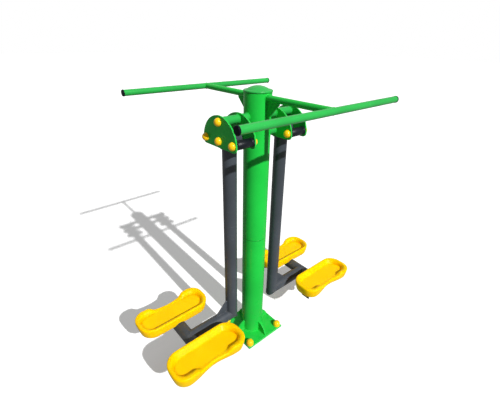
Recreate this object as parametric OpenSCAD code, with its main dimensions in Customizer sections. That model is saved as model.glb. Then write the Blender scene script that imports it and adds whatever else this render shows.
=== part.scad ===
// Double side-swing trainer for a park: one post, two parallel-bar handles
// and two hanging foot arms that swing sideways between rubber stops.
// Millimetres, +Z up, +X to the right arm, -Y to the front.
// The origin is the middle of the base plate's underside, on the post's axis.

/* [Base] */
// Side of the square base plate
base_w = 240; // [230:5:300]
// Thickness of the base plate
base_t = 10; // [8:1:16]
// Distance from an anchor hole's axis to the plate's two near edges
anchor_edge = 20; // [20:1:26]
// Diameter of the anchor holes
anchor_hole_d = 18; // [14:1:22]
// Height of a base rib above the plate
rib_h = 62; // [40:1:70]
// Length of a base rib along the plate, out from the post
rib_reach = 55; // [35:1:60]
// Thickness of a base rib
rib_t = 6; // [4:1:10]
// Outer diameter of an anchor cap
anchor_cap_d = 38; // [32:1:40]
// Height of an anchor cap
anchor_cap_h = 29; // [22:1:34]

/* [Post] */
// Outer diameter of the post
post_d = 114; // [100:1:124]
// Wall of the post tubes
post_wall = 4; // [3:0.5:6]
// Height of the post's top edge above the ground
post_h = 1274; // [1180:2:1340]
// Height of the seam between the two post tubes
seam_h = 610; // [500:5:800]
// Length of the backing sleeve inside the seam
seam_sleeve_l = 80; // [40:5:120]
// Height of the domed cap above the post's top edge
post_cap_h = 25; // [20:1:36]
// How far the cap's rim stands out from the post
post_cap_lip = 2.5; // [1:0.5:4]

/* [Handlebars] */
// Outer diameter of the bars and of their support tubes
bar_d = 25; // [22:1:32]
// Wall of the bars and support tubes
bar_wall = 2.5; // [2:0.5:4]
// Distance from the post's top edge down to the bars' axes
bar_top_gap = 16; // [14:1:30]
// Distance from the post's axis to a bar's axis
bar_reach = 364; // [320:2:420]
// Length of a bar with its end plugs
bar_len = 800; // [700:2:900]
// Length of an end plug outside the bar
plug_l = 6; // [5:1:16]
// How far a gusset runs out along its support tube
bar_gusset_out = 64; // [40:1:90]
// How far a gusset runs down the post, from the support tube's underside
bar_gusset_down = 66; // [40:1:66]
// Thickness of the handlebar gussets
bar_gusset_t = 5; // [4:1:8]

/* [Swing brackets] */
// Distance from the post's top edge down to the pivot axis
pivot_top_gap = 164; // [150:2:200]
// Distance from the post's axis to the post side of an inner plate
bracket_offset = 96; // [90:1:110]
// Clear distance between the inner and the outer plate
bracket_gap = 86; // [80:1:110]
// Thickness of the bracket plates
bracket_t = 6; // [5:1:10]
// Radius of a plate's round top
bracket_r = 105; // [104:1:115]
// How far the centre of that round lies below the pivot axis
bracket_drop = 8; // [4:1:10]
// Radius of a plate's lower corners, and depth of the strip below the round
bracket_corner_r = 18; // [14:1:22]
// Height of the top bolt above the pivot axis
top_bolt_rise = 73; // [62:1:76]
// Distance from the pivot axis to the axis of a stop, at the same height
stop_offset = 85; // [80:1:86]
// Diameter of the carrier tubes through the post and of the top spacers
carrier_d = 34; // [30:1:40]
// Wall of the carrier tubes and top spacers
carrier_wall = 5; // [3:0.5:6]
// Outer diameter of a rubber stop sleeve
stop_d = 36; // [32:1:42]
// Outer diameter of the steel tube inside a stop sleeve
stop_core_d = 24; // [22:1:28]

/* [Fasteners] */
// Diameter of the bracket bolts and of the shaft ends
bolt_d = 12; // [10:1:13]
// Width of the bolt heads and nuts across their flats
bolt_af = 19; // [16:1:20]
// Height of the nuts and bolt heads
nut_h = 10; // [8:1:11]
// Outer diameter of a bracket cap
bolt_cap_d = 32; // [32:1:38]
// Height of a bracket cap
bolt_cap_h = 18; // [18:1:24]
// Wall of the caps
cap_wall = 2; // [1.5:0.5:2.5]
// Diameter of the pedal bolts
pedal_bolt_d = 8; // [6:1:10]

/* [Pivots] */
// Diameter of the pivot shaft
shaft_d = 20; // [17:1:22]
// Outer diameter of a bearing
bearing_d = 47; // [40:1:52]
// Width of a bearing
bearing_w = 14; // [10:1:16]
// Outer diameter of an arm's hub
hub_d = 68; // [62:1:76]
// Length of an arm's hub
hub_l = 78; // [60:1:79]

/* [Arms] */
// Outer diameter of the arm, foot and cross tubes
arm_d = 60; // [50:1:62]
// Wall of those tubes
arm_wall = 3; // [2:0.5:5]
// Height of the foot tube's axis above the ground, with the arm at rest
foot_h = 190; // [170:2:230]
// Distance from the arm tube's axis out to the cross tube's axis
foot_reach = 252; // [240:2:300]
// Length of the cross tube
cross_len = 330; // [280:2:350]
// Legs of the gusset inside the elbow
elbow_gusset_leg = 66; // [40:1:90]
// Thickness of the elbow gusset
elbow_gusset_t = 6; // [4:1:10]

/* [Pedals] */
// Length of a pedal
pedal_len = 360; // [340:2:374]
// Width of a pedal
pedal_w = 155; // [145:1:170]
// Distance from the arm's middle plane to a pedal's straight side
pedal_inboard = 75; // [70:1:90]
// Height of a pedal from the skirt's edge to the rim
pedal_h = 54; // [46:1:64]
// Depth of the foot well below the rim
well_depth = 22; // [14:1:26]
// Thickness of the moulded walls
pedal_wall = 4; // [3:0.5:5]
// Width of the rolled rim
rim_w = 14; // [10:1:18]
// Distance from the pedal's ends to the flat of the foot well
well_end_in = 26; // [22:1:40]
// Distance from the pedal's straight side to the flat of the foot well
well_inner_in = 36; // [30:1:46]
// Distance from the lobes' outer side to the flat of the foot well
well_outer_in = 34; // [30:1:46]
// How far the outer side curves in between its two lobes
waist_in = 16; // [10:1:20]
// How far the rim dips in that waist
waist_dip = 20; // [6:1:20]
// Thickness of the steel saddle plate under a pedal
saddle_t = 4; // [3:1:6]
// How far the skirt's edge lies above the cross tube's axis
skirt_rise = 20; // [16:1:22]

/* [Hidden] */
$fn = 64;

// Overrun of every cut past the face that it opens
cut = 1;
// Loose fit of bolts in their holes, on the radius
bolt_play = 0.4;
// Running fit of the bearings on the shaft, on the radius
run_fit = 0.05;
// Side play between a bearing and its spacer
side_play = 0.3;
// Air between a saddle's arch and the notch of the pedal over it
arch_play = 0.5;

green = [0.10, 0.72, 0.24];
anthracite = [0.22, 0.24, 0.28];
yellow = [1.0, 0.78, 0.02];
amber = [0.98, 0.70, 0.05];
black = [0.07, 0.07, 0.08];
steel = [0.70, 0.71, 0.73];

left = -1;
right = 1;
front = -1;
rear = 1;
sides = [left, right];
ends = [front, rear];

post_r = post_d / 2;
bar_r = bar_d / 2;
arm_r = arm_d / 2;
anchor_at = base_w / 2 - anchor_edge;
bar_h = post_h - bar_top_gap;
pivot_h = post_h - pivot_top_gap;
bracket_inner_x = bracket_offset + bracket_t / 2;
bracket_outer_x = bracket_offset + bracket_t + bracket_gap + bracket_t / 2;
bracket_back_x = bracket_offset + 2 * bracket_t + bracket_gap;
arm_x = bracket_offset + bracket_t + bracket_gap / 2;
top_bolt_h = pivot_h + top_bolt_rise;
arm_drop = pivot_h - foot_h;
cross_x = arm_x + foot_reach;
skirt_h = foot_h + skirt_rise;

// Post cap: bead along the rim, and a dished top that rises from it
cap_bead_share = 0.4;
// Overlap of the cap's spigot with the inside of the post
cap_spigot_l = 12;
cap_spigot_play = 0.3;
// Anchor caps and bracket caps: the straight skirt's share of the height
cap_skirt_share = 0.24;
// Tube ends: how deep the plugs reach in, and their rounding
plug_spigot_l = 18;
plug_lip = 1;
plug_edge = 3;
// Nose of a gusset, square to its long edges
gusset_nose = 6;
// Chamfer of the rubber sleeves' ends
sleeve_chamfer = 2;
// Free length of thread past a nut
thread_out = 2;
// Bearing: depth and width of the ring groove between its two races
bearing_groove = 0.8;
race_w = 4;
// Hub: wall left inside the bearing seats
hub_rest_share = 0.78;

// A tube or bar along X, Y or Z with its middle at the origin
module rod_x(l, d) { rotate([0, 90, 0]) cylinder(h = l, d = d, center = true); }
module rod_y(l, d) { rotate([90, 0, 0]) cylinder(h = l, d = d, center = true); }
module tube_x(l, d, wall) {
    difference() {
        rod_x(l, d);
        rod_x(l + 2 * cut, d - 2 * wall);
    }
}
module tube_z(l, d, wall) {
    difference() {
        cylinder(h = l, d = d);
        translate([0, 0, -cut]) cylinder(h = l + 2 * cut, d = d - 2 * wall);
    }
}
// A flat plate in the Y-Z plane, t thick, with its middle at the origin
module plate_yz(t) { rotate([90, 0, 90]) linear_extrude(height = t, center = true) children(); }
// A flat plate in the X-Z plane
module plate_xz(t) { rotate([90, 0, 0]) linear_extrude(height = t, center = true) children(); }

// Radius of the sphere that rises by rise over a circle of radius r
function dish_r(r, rise) = (r * r + rise * rise) / (2 * rise);
// A body with a straight skirt and a spherical top, standing on z = 0
module domed(d, skirt, h) {
    ball = dish_r(d / 2, h - skirt);
    cylinder(h = skirt, d = d);
    intersection() {
        cylinder(h = h, d = d);
        translate([0, 0, h - ball]) sphere(r = ball, $fn = 96);
    }
}
// A hollow domed cap, open below
module dome_cap(d, h) {
    skirt = h * cap_skirt_share;
    difference() {
        domed(d, skirt, h);
        translate([0, 0, -cut]) cylinder(h = cut + skirt, d = d - 2 * cap_wall);
        domed(d - 2 * cap_wall, skirt, h - cap_wall);
    }
}
// A hexagonal nut or head standing on z = 0
module hexagon(h) { cylinder(h = h, d = bolt_af / cos(30), $fn = 6); }

// Base

module base_plate() {
    color(green) difference() {
        translate([-base_w / 2, -base_w / 2, 0]) cube([base_w, base_w, base_t]);
        for (x = sides, y = ends)
            translate([x * anchor_at, y * anchor_at, -cut])
                cylinder(h = base_t + 2 * cut, d = anchor_hole_d);
    }
}

// A rib's outline: upright at the post, flat on the plate, convex outside.
// Its outer edge is an arc through the rib's top and its tip.
rib_bulge_share = 0.16;
module rib_outline() {
    chord = norm([rib_reach, rib_h]);
    sag = chord * rib_bulge_share;
    arc_r = dish_r(chord / 2, sag);
    out = [rib_h, rib_reach] / chord;
    middle = [post_r + rib_reach / 2, rib_h / 2];
    intersection() {
        square([post_r + rib_reach, rib_h]);
        translate(middle - out * (arc_r - sag)) circle(r = arc_r);
    }
}
module base_ribs() {
    color(green) for (turn = [0, 90, 180, 270])
        rotate([0, 0, turn]) translate([0, 0, base_t]) difference() {
            plate_xz(rib_t) rib_outline();
            translate([0, 0, -cut]) cylinder(h = rib_h + 2 * cut, d = post_d);
        }
}

module anchor_caps() {
    color(amber) for (x = sides, y = ends)
        translate([x * anchor_at, y * anchor_at, base_t]) dome_cap(anchor_cap_d, anchor_cap_h);
}

// Post

module post_lower_tube() {
    color(green) translate([0, 0, base_t]) tube_z(seam_h - base_t, post_d, post_wall);
}
module post_seam_sleeve() {
    color(steel) translate([0, 0, seam_h - seam_sleeve_l / 2])
        tube_z(seam_sleeve_l, post_d - 2 * post_wall, post_wall);
}
module post_upper_tube() {
    color(green) difference() {
        translate([0, 0, seam_h]) tube_z(post_h - seam_h, post_d, post_wall);
        for (h = [pivot_h, top_bolt_h]) translate([0, 0, h]) rod_x(post_d + 2 * cut, carrier_d);
    }
}
module post_cap() {
    rim_d = post_d + 2 * post_cap_lip;
    bead = post_cap_h * cap_bead_share;
    dish = rim_d - bead;
    ball = dish_r(dish / 2, post_cap_h - bead / 2);
    spigot_d = post_d - 2 * post_wall - 2 * cap_spigot_play;
    color(green) translate([0, 0, post_h]) difference() {
        union() {
            rotate_extrude() translate([dish / 2, bead / 2]) circle(d = bead);
            cylinder(h = bead, d = dish);
            intersection() {
                cylinder(h = post_cap_h, d = dish);
                translate([0, 0, post_cap_h - ball]) sphere(r = ball, $fn = 96);
            }
            translate([0, 0, -cap_spigot_l]) cylinder(h = cap_spigot_l + bead, d = spigot_d);
        }
        translate([0, 0, -cap_spigot_l - cut])
            cylinder(h = cap_spigot_l + cut + bead / 2, d = spigot_d - 2 * post_wall);
    }
}

// Handlebars

module support(end) {
    inside = bar_d - 2 * bar_wall;
    color(green) difference() {
        translate([0, end * bar_reach / 2, bar_h]) rod_y(bar_reach, bar_d);
        translate([0, end * bar_reach / 2, bar_h]) rod_y(bar_reach + 2 * cut, inside);
        translate([0, end * bar_reach, bar_h]) rod_x(bar_d + 2 * cut, bar_d);
        translate([0, 0, bar_h - bar_d]) cylinder(h = 2 * bar_d, d = post_d);
    }
}
module bar_gusset(end) {
    top = bar_h;
    low = bar_h - bar_r - bar_gusset_down;
    tip = post_r + bar_gusset_out;
    color(green) difference() {
        plate_yz(bar_gusset_t) polygon([
            [0, top], [end * tip, top], [end * tip, bar_h - bar_r - gusset_nose],
            [end * (post_r + gusset_nose), low], [0, low]
        ]);
        translate([0, 0, low - cut]) cylinder(h = top - low + 2 * cut, d = post_d);
        translate([0, end * tip / 2, bar_h]) rod_y(tip + 2 * cut, bar_d);
        translate([-bar_gusset_t, end * tip / 2 - tip, bar_h]) cube([2 * bar_gusset_t, 2 * tip, bar_d]);
    }
}
module handlebar(end) {
    color(green) translate([0, end * bar_reach, bar_h])
        tube_x(bar_len - 2 * plug_l, bar_d, bar_wall);
}
// An end plug with a rounded head, its axis along Z, the tube's end at z = 0
module plug() {
    head = bar_r + plug_lip;
    rotate_extrude() union() {
        square([head, plug_l - plug_edge]);
        square([head - plug_edge, plug_l]);
        translate([head - plug_edge, plug_l - plug_edge]) circle(r = plug_edge);
        translate([0, -plug_spigot_l]) square([bar_r - bar_wall, plug_spigot_l]);
    }
}
module handlebar_plugs() {
    color(black) for (side = sides, end = ends)
        translate([side * (bar_len / 2 - plug_l), end * bar_reach, bar_h])
            rotate([0, side * 90, 0]) plug();
}

// Swing brackets

module carrier_tube(h) {
    color(green) translate([0, 0, h]) tube_x(2 * bracket_offset, carrier_d, carrier_wall);
}
// A plate's outline about the pivot axis: a half round over a strip with round corners
module bracket_outline() {
    corner_at = bracket_r - bracket_corner_r;
    translate([0, -bracket_drop]) {
        intersection() {
            circle(r = bracket_r);
            translate([-bracket_r, 0]) square([2 * bracket_r, bracket_r]);
        }
        translate([-corner_at, -bracket_corner_r]) square([2 * corner_at, bracket_corner_r]);
        intersection() {
            for (y = ends) translate([y * corner_at, 0]) circle(r = bracket_corner_r);
            translate([-bracket_r, -bracket_corner_r]) square([2 * bracket_r, bracket_corner_r]);
        }
    }
}
module bracket_plate(side, x, shaft_hole_d) {
    color(green) translate([side * x, 0, pivot_h]) difference() {
        plate_yz(bracket_t) bracket_outline();
        rod_x(bracket_t + 2 * cut, shaft_hole_d + 2 * bolt_play);
        translate([0, 0, top_bolt_rise]) rod_x(bracket_t + 2 * cut, bolt_d + 2 * bolt_play);
        for (y = ends) translate([0, y * stop_offset, 0])
            rod_x(bracket_t + 2 * cut, bolt_d + 2 * bolt_play);
    }
}
module bracket_spacers() {
    color(green) for (side = sides)
        translate([side * arm_x, 0, top_bolt_h]) tube_x(bracket_gap, carrier_d, carrier_wall);
}
// Places its children at the four stops, turned so that +Z points away from the post
module at_stops(x) {
    for (side = sides, y = ends)
        translate([side * x, y * stop_offset, pivot_h]) rotate([0, side * 90, 0]) children();
}
module stop_sleeves() {
    half = bracket_gap / 2;
    r = stop_d / 2;
    bore = stop_core_d / 2;
    color(black) at_stops(arm_x) rotate_extrude() polygon([
        [bore, -half], [r - sleeve_chamfer, -half], [r, sleeve_chamfer - half],
        [r, half - sleeve_chamfer], [r - sleeve_chamfer, half], [bore, half]
    ]);
}
module stop_cores() {
    bore = bolt_d + 2 * bolt_play;
    color(steel) at_stops(arm_x) translate([0, 0, -bracket_gap / 2])
        tube_z(bracket_gap, stop_core_d, (stop_core_d - bore) / 2);
}
module stop_bolts() {
    shank = bracket_back_x - bracket_offset + nut_h + thread_out;
    color(steel) at_stops(bracket_back_x) union() {
        hexagon(nut_h);
        translate([0, 0, -shank]) cylinder(h = shank, d = bolt_d);
    }
}
module tie_rod() {
    color(steel) translate([0, 0, top_bolt_h])
        rod_x(2 * (bracket_back_x + nut_h + thread_out), bolt_d);
}
// One shaft carries both arms; its ends step down where they pass the outer plates
module pivot_shaft() {
    shoulder = bracket_back_x - bracket_t;
    color(steel) translate([0, 0, pivot_h]) union() {
        rod_x(2 * shoulder, shaft_d);
        rod_x(2 * (bracket_back_x + nut_h + thread_out), bolt_d);
    }
}
// Washers on the shaft that keep each hub between its plates
module pivot_spacers() {
    seat = bracket_gap / 2;
    l = (bracket_gap - hub_l) / 2 - side_play;
    color(steel) for (side = sides, face = sides)
        translate([side * arm_x + face * (seat - l / 2), 0, pivot_h])
            tube_x(l, shaft_d + 2 * race_w, race_w);
}
module bracket_nuts() {
    color(steel) {
        for (side = sides, h = [pivot_h, top_bolt_h])
            translate([side * bracket_back_x, 0, h]) rotate([0, side * 90, 0]) nut();
        at_stops(bracket_offset) rotate([180, 0, 0]) nut();
    }
}
module nut() {
    difference() {
        hexagon(nut_h);
        translate([0, 0, -cut]) cylinder(h = nut_h + 2 * cut, d = bolt_d);
    }
}
module bracket_caps() {
    color(amber) {
        for (side = sides, h = [pivot_h, top_bolt_h])
            translate([side * bracket_back_x, 0, h]) rotate([0, side * 90, 0])
                dome_cap(bolt_cap_d, bolt_cap_h);
        at_stops(bracket_back_x) dome_cap(bolt_cap_d, bolt_cap_h);
        at_stops(bracket_offset) rotate([180, 0, 0]) dome_cap(bolt_cap_d, bolt_cap_h);
    }
}

// Arms

module hub(side) {
    color(anthracite) translate([side * arm_x, 0, pivot_h]) difference() {
        rod_x(hub_l, hub_d);
        rod_x(hub_l + 2 * cut, bearing_d * hub_rest_share);
        for (face = sides) translate([face * hub_l / 2, 0, 0]) rod_x(2 * bearing_w, bearing_d);
    }
}
// Sealed ball bearings, each drawn whole, with the ring groove between its races
module bearings(side) {
    bore = shaft_d / 2 + run_fit;
    outer = bearing_d / 2;
    color(steel) for (face = sides)
        translate([side * arm_x + face * (hub_l - bearing_w) / 2, 0, pivot_h])
            rotate([0, 90, 0]) rotate_extrude() difference() {
                translate([bore, -bearing_w / 2]) square([outer - bore, bearing_w]);
                for (z = sides) translate([bore + race_w, z * bearing_w / 2 - bearing_groove])
                    square([outer - bore - 2 * race_w, 2 * bearing_groove]);
            }
}
// Cuts away what lies past the mitre plane of the elbow; keep picks the side that stays
module mitre(side, keep) {
    big = arm_drop + foot_reach;
    translate([side * arm_x, 0, foot_h]) rotate([0, -side * 45, 0])
        translate([-big, -big, keep > 0 ? -2 * big : 0]) cube([2 * big, 2 * big, 2 * big]);
}
module arm_tube(side) {
    color(anthracite) difference() {
        translate([side * arm_x, 0, foot_h - arm_d]) tube_z(arm_drop + arm_d, arm_d, arm_wall);
        translate([side * arm_x, 0, pivot_h]) rod_x(arm_d + 2 * cut, hub_d);
        mitre(side, 1);
    }
}
module foot_tube(side) {
    l = foot_reach + arm_d;
    color(anthracite) difference() {
        translate([side * (arm_x + foot_reach - l / 2), 0, foot_h]) tube_x(l, arm_d, arm_wall);
        translate([side * cross_x, 0, foot_h]) rod_y(arm_d + 2 * cut, arm_d);
        mitre(side, -1);
    }
}
module elbow_gusset(side) {
    reach = arm_r + elbow_gusset_leg;
    color(anthracite) translate([side * arm_x, 0, foot_h]) difference() {
        plate_xz(elbow_gusset_t) polygon([
            [0, 0], [side * reach, 0], [side * reach, arm_r + gusset_nose],
            [side * (arm_r + gusset_nose), reach], [0, reach]
        ]);
        translate([0, 0, -cut]) cylinder(h = reach + 2 * cut, d = arm_d);
        translate([side * reach / 2, 0, 0]) rod_x(reach + 2 * cut, arm_d);
    }
}
module cross_tube(side) {
    color(anthracite) translate([side * cross_x, 0, foot_h]) difference() {
        rod_y(cross_len, arm_d);
        rod_y(cross_len - 2 * arm_wall, arm_d - 2 * arm_wall);
    }
}

// Pedals

// The moulding is lofted through rings of the same number of points. A ring's outline
// is given by its distances in from the rim's ends, straight side and lobes, and by its
// corner radii at the straight side and at the lobes as shares of its own width.
arc_steps = 7;
waist_steps = 16;
rim_shares = [0.44, 0.36];
well_shares = [0.52, 0.42];
// Draft of the skirt: how far its lower edge lies inside the rim's outline
skirt_in = 8;
// The foot well's side: how far its shoulder stands off and above the floor's edge,
// and the shoulder's share of the waist's curve and dip
shoulder_out = 8;
shoulder_up = 12;
shoulder_waist_share = 0.35;
shoulder_dip_share = 0.95;
// Between these shares of the waist the rim drops from the lobes to its level middle
dip_shares = [0.1, 0.5];
// Height of the floor's underside above the skirt's edge
floor_under = pedal_h - well_depth - pedal_wall;

// Points of a quarter arc about c, from angle a, counter-clockwise
function quarter(c, r, a) = [for (i = [0:arc_steps])
    let (turn = a + 90 * i / arc_steps) c + r * [cos(turn), sin(turn)]];
// 1 in the middle of the waist and 0 at the lobes
function waist(s) = (1 + cos(180 * s)) / 2;
// Where a point of the waist lies between the lobes, from 1 to -1
function waist_at(i) = 1 - 2 * i / waist_steps;
// The outline in (along, across): the straight side on across = 0, the lobes at pedal_w
function outline(in, shares, waisted) =
    let (
        half = pedal_len / 2 - in[0],
        low = in[1],
        high = pedal_w - in[2],
        r = (high - low) * shares,
        run = half - r[1]
    ) concat(
        quarter([r[0] - half, low + r[0]], r[0], 180),
        quarter([half - r[0], low + r[0]], r[0], 270),
        quarter([run, high - r[1]], r[1], 0),
        [for (i = [1:waist_steps - 1]) [run * waist_at(i), high - waisted * waist(waist_at(i))]],
        quarter([-run, high - r[1]], r[1], 90)
    );
// How far each of those points dips with the waist, from 0 to 1: level in the middle
// of the waist, and steeper than its curve on the way up to the lobes
function smooth(t) = t * t * (3 - 2 * t);
function dipped(w) =
    smooth(max(0, min(1, (w - dip_shares[0]) / (dip_shares[1] - dip_shares[0]))));
dips = concat(
    [for (i = [0:3 * arc_steps + 2]) 0],
    [for (i = [1:waist_steps - 1]) dipped(waist(waist_at(i)))],
    [for (i = [0:arc_steps]) 0]
);
// A ring of points at height z, lowered by dip where the outline waists
function ring(in, shares, waisted, z, dip) =
    let (flat = outline(in, shares, waisted))
    [for (i = [0:len(flat) - 1]) [flat[i][0], flat[i][1], z - dip * dips[i]]];
// A ring partway round the rolled rim: turn 0 is its outer foot, 180 its inner foot,
// which dips no lower than the well's flat
function rim_ring(turn) =
    let (in = rim_w / 2 * (1 - cos(turn)), up = rim_w / 2 * (sin(turn) - 1))
    ring(in * [1, 1, 1], rim_shares, waist_in, pedal_h + up,
        turn > 90 ? min(waist_dip, well_depth + up) : waist_dip);
// A ring of the skirt, in inside the moulding's lower edge
function skirt_ring(in, z) = ring((skirt_in + in) * [1, 1, 1], rim_shares, waist_in, z, 0);
// A ring of the foot well, out outside and up above the edge of its flat
function well_ring(out, up, waist_share, dip_share) =
    ring([well_end_in, well_inner_in, well_outer_in] - out * [1, 1, 1], well_shares,
        waist_in * waist_share, pedal_h - well_depth + up, up * dip_share);
rings = concat(
    [skirt_ring(2 * pedal_wall, floor_under), skirt_ring(pedal_wall, 0), skirt_ring(0, 0)],
    [for (turn = [0:45:180]) rim_ring(turn)],
    [well_ring(shoulder_out, shoulder_up, shoulder_waist_share, shoulder_dip_share),
        well_ring(0, 0, 0, 0)]
);
ring_n = len(rings[0]);
// Triangles between ring k and the next, and fans that close the first and last ring
function band(k) = [for (i = [0:ring_n - 1], half = [0, 1])
    let (j = (i + 1) % ring_n, a = k * ring_n, b = a + ring_n)
    half == 0 ? [a + i, b + i, b + j] : [a + i, b + j, a + j]];
module pedal_shell() {
    last = (len(rings) - 1) * ring_n;
    low_hub = len(rings) * ring_n;
    points = concat(
        [for (r = rings, p = r) p],
        [[0, pedal_w / 2, floor_under], [0, pedal_w / 2, pedal_h - well_depth]]
    );
    faces = concat(
        [for (k = [0:len(rings) - 2], f = band(k)) f],
        [for (i = [0:ring_n - 1]) [low_hub, i, (i + 1) % ring_n]],
        [for (i = [0:ring_n - 1]) [low_hub + 1, last + (i + 1) % ring_n, last + i]]
    );
    polyhedron(points = points, faces = faces, convexity = 6);
}
// Four bosses under the floor take the pedal bolts
boss_d = 20;
boss_along_share = 0.31;
boss_across_shares = [0.30, 0.68];
boss_sink = 1.5;
function boss_places() = [for (along = sides, share = boss_across_shares)
    [along * boss_along_share * pedal_len, share * pedal_w]];
// Puts its children where a pedal's own frame lies: along points away from the post,
// and across points away from the arm
module at_pedal(side, end) {
    translate([side * cross_x, end * pedal_inboard, skirt_h])
        mirror([0, end < 0 ? 1 : 0, 0]) mirror([side < 0 ? 1 : 0, 0, 0]) children();
}
module pedal(side, end) {
    color(yellow) at_pedal(side, end) difference() {
        union() {
            pedal_shell();
            for (p = boss_places()) translate([p[0], p[1], 0])
                cylinder(h = floor_under + boss_sink, d = boss_d);
        }
        translate([0, 0, -skirt_rise]) rod_y(pedal_w, arm_d + 2 * (saddle_t + arch_play));
        for (p = boss_places()) translate([p[0], p[1], -cut])
            cylinder(h = floor_under - pedal_wall + cut, d = pedal_bolt_d + bolt_play);
    }
}
// A plate with flat wings under the skirt and an arch that sits on the cross tube.
// A tongue under the inner lobe runs on towards the post and ends in a lip turned down.
saddle_from_share = 0.16;
wing_share = 0.76;
tongue_share = 0.9;
lip_h = 12;
module saddle_plate(side, end) {
    wing = pedal_len / 2 * wing_share;
    tongue = pedal_len / 2 * tongue_share;
    from = pedal_w * saddle_from_share;
    to = pedal_w - skirt_in - waist_in - 2 * pedal_wall;
    at_pedal(side, end) difference() {
        union() {
            translate([0, (from + to) / 2, 0]) plate_xz(to - from) difference() {
                union() {
                    translate([-wing, -saddle_t]) square([2 * wing, saddle_t]);
                    translate([0, -skirt_rise]) circle(r = arm_r + saddle_t);
                }
                translate([0, -skirt_rise]) circle(r = arm_r);
                translate([-wing, -saddle_t - 2 * arm_d]) square([2 * wing, 2 * arm_d]);
            }
            translate([-tongue, (from + to) / 2, -saddle_t])
                cube([tongue - wing + saddle_t, (to - from) / 2, saddle_t]);
            translate([-tongue, (from + to) / 2, -saddle_t - lip_h])
                cube([saddle_t, (to - from) / 2, lip_h]);
        }
        for (p = boss_places()) translate([p[0], p[1], -saddle_t - cut])
            cylinder(h = saddle_t + 2 * cut, d = pedal_bolt_d + bolt_play);
    }
}
module saddle_plates(side) {
    color(anthracite) for (end = ends) saddle_plate(side, end);
}
// Pedal bolts: head height and reach into the boss
pedal_head_h = 5;
pedal_head_d = 14;
pedal_bolt_reach = 16;
module pedal_bolts(side) {
    color(steel) for (end = ends) at_pedal(side, end) for (p = boss_places())
        translate([p[0], p[1], -saddle_t]) {
            translate([0, 0, -pedal_head_h]) cylinder(h = pedal_head_h, d = pedal_head_d, $fn = 6);
            cylinder(h = saddle_t + pedal_bolt_reach, d = pedal_bolt_d);
        }
}

base_plate();
base_ribs();
anchor_caps();
post_lower_tube();
post_seam_sleeve();
post_upper_tube();
post_cap();
support(front);  // support_front
support(rear);  // support_rear
bar_gusset(front);  // bar_gusset_front
bar_gusset(rear);  // bar_gusset_rear
handlebar(front);  // handlebar_front
handlebar(rear);  // handlebar_rear
handlebar_plugs();
carrier_tube(top_bolt_h);  // carrier_tube_upper
carrier_tube(pivot_h);  // carrier_tube_lower
bracket_plate(left, bracket_inner_x, shaft_d);  // bracket_left_inner
bracket_plate(left, bracket_outer_x, bolt_d);  // bracket_left_outer
bracket_plate(right, bracket_inner_x, shaft_d);  // bracket_right_inner
bracket_plate(right, bracket_outer_x, bolt_d);  // bracket_right_outer
bracket_spacers();
stop_sleeves();
stop_cores();
stop_bolts();
tie_rod();
pivot_shaft();
pivot_spacers();
bracket_nuts();
bracket_caps();
hub(left);  // hub_left
bearings(left);  // bearings_left
arm_tube(left);  // arm_tube_left
foot_tube(left);  // foot_tube_left
elbow_gusset(left);  // elbow_gusset_left
cross_tube(left);  // cross_tube_left
saddle_plates(left);  // saddle_plates_left
pedal_bolts(left);  // pedal_bolts_left
pedal(left, front);  // pedal_left_front
pedal(left, rear);  // pedal_left_rear
hub(right);  // hub_right
bearings(right);  // bearings_right
arm_tube(right);  // arm_tube_right
foot_tube(right);  // foot_tube_right
elbow_gusset(right);  // elbow_gusset_right
cross_tube(right);  // cross_tube_right
saddle_plates(right);  // saddle_plates_right
pedal_bolts(right);  // pedal_bolts_right
pedal(right, front);  // pedal_right_front
pedal(right, rear);  // pedal_right_rear
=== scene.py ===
import math

import bmesh
import bpy
from mathutils import Matrix, Vector


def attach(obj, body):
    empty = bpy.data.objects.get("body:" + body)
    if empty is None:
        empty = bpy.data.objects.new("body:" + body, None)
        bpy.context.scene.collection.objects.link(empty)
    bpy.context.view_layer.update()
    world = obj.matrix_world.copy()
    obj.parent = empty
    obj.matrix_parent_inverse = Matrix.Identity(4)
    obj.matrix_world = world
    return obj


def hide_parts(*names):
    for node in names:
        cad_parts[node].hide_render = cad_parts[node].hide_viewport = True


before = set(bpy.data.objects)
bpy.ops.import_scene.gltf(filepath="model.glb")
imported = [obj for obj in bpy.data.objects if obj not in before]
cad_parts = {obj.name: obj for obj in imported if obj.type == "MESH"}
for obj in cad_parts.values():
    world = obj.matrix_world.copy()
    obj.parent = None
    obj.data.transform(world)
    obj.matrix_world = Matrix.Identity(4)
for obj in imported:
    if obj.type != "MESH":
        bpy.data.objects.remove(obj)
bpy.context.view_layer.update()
mm = 0.001
print("frame loaded:", len(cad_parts), "nodes")


# Shader groups

def startGroup(name, colors, numbers):
    # Every group puts out a colour, a roughness and a normal
    tree = bpy.data.node_groups.new(name, "ShaderNodeTree")
    for kind, values in (("NodeSocketColor", colors), ("NodeSocketFloat", numbers)):
        for label, value in values.items():
            tree.interface.new_socket(label, in_out="INPUT", socket_type=kind).default_value = value
    for label, kind in (("Color", "Color"), ("Roughness", "Float"), ("Normal", "Vector")):
        tree.interface.new_socket(label, in_out="OUTPUT", socket_type="NodeSocket" + kind)
    return tree, tree.nodes.new("NodeGroupInput").outputs, tree.nodes.new("NodeGroupOutput").inputs


def feed(tree, value, socket):
    # Links an output to the socket, or sets a plain value
    if isinstance(value, bpy.types.NodeSocket):
        tree.links.new(value, socket)
    else:
        socket.default_value = value


def noiseAt(tree, vector, scale, detail=2.0, rough=0.5):
    node = tree.nodes.new("ShaderNodeTexNoise")
    for label, value in (("Vector", vector), ("Scale", scale), ("Detail", detail), ("Roughness", rough)):
        feed(tree, value, node.inputs[label])
    return node.outputs["Fac"]


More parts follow.
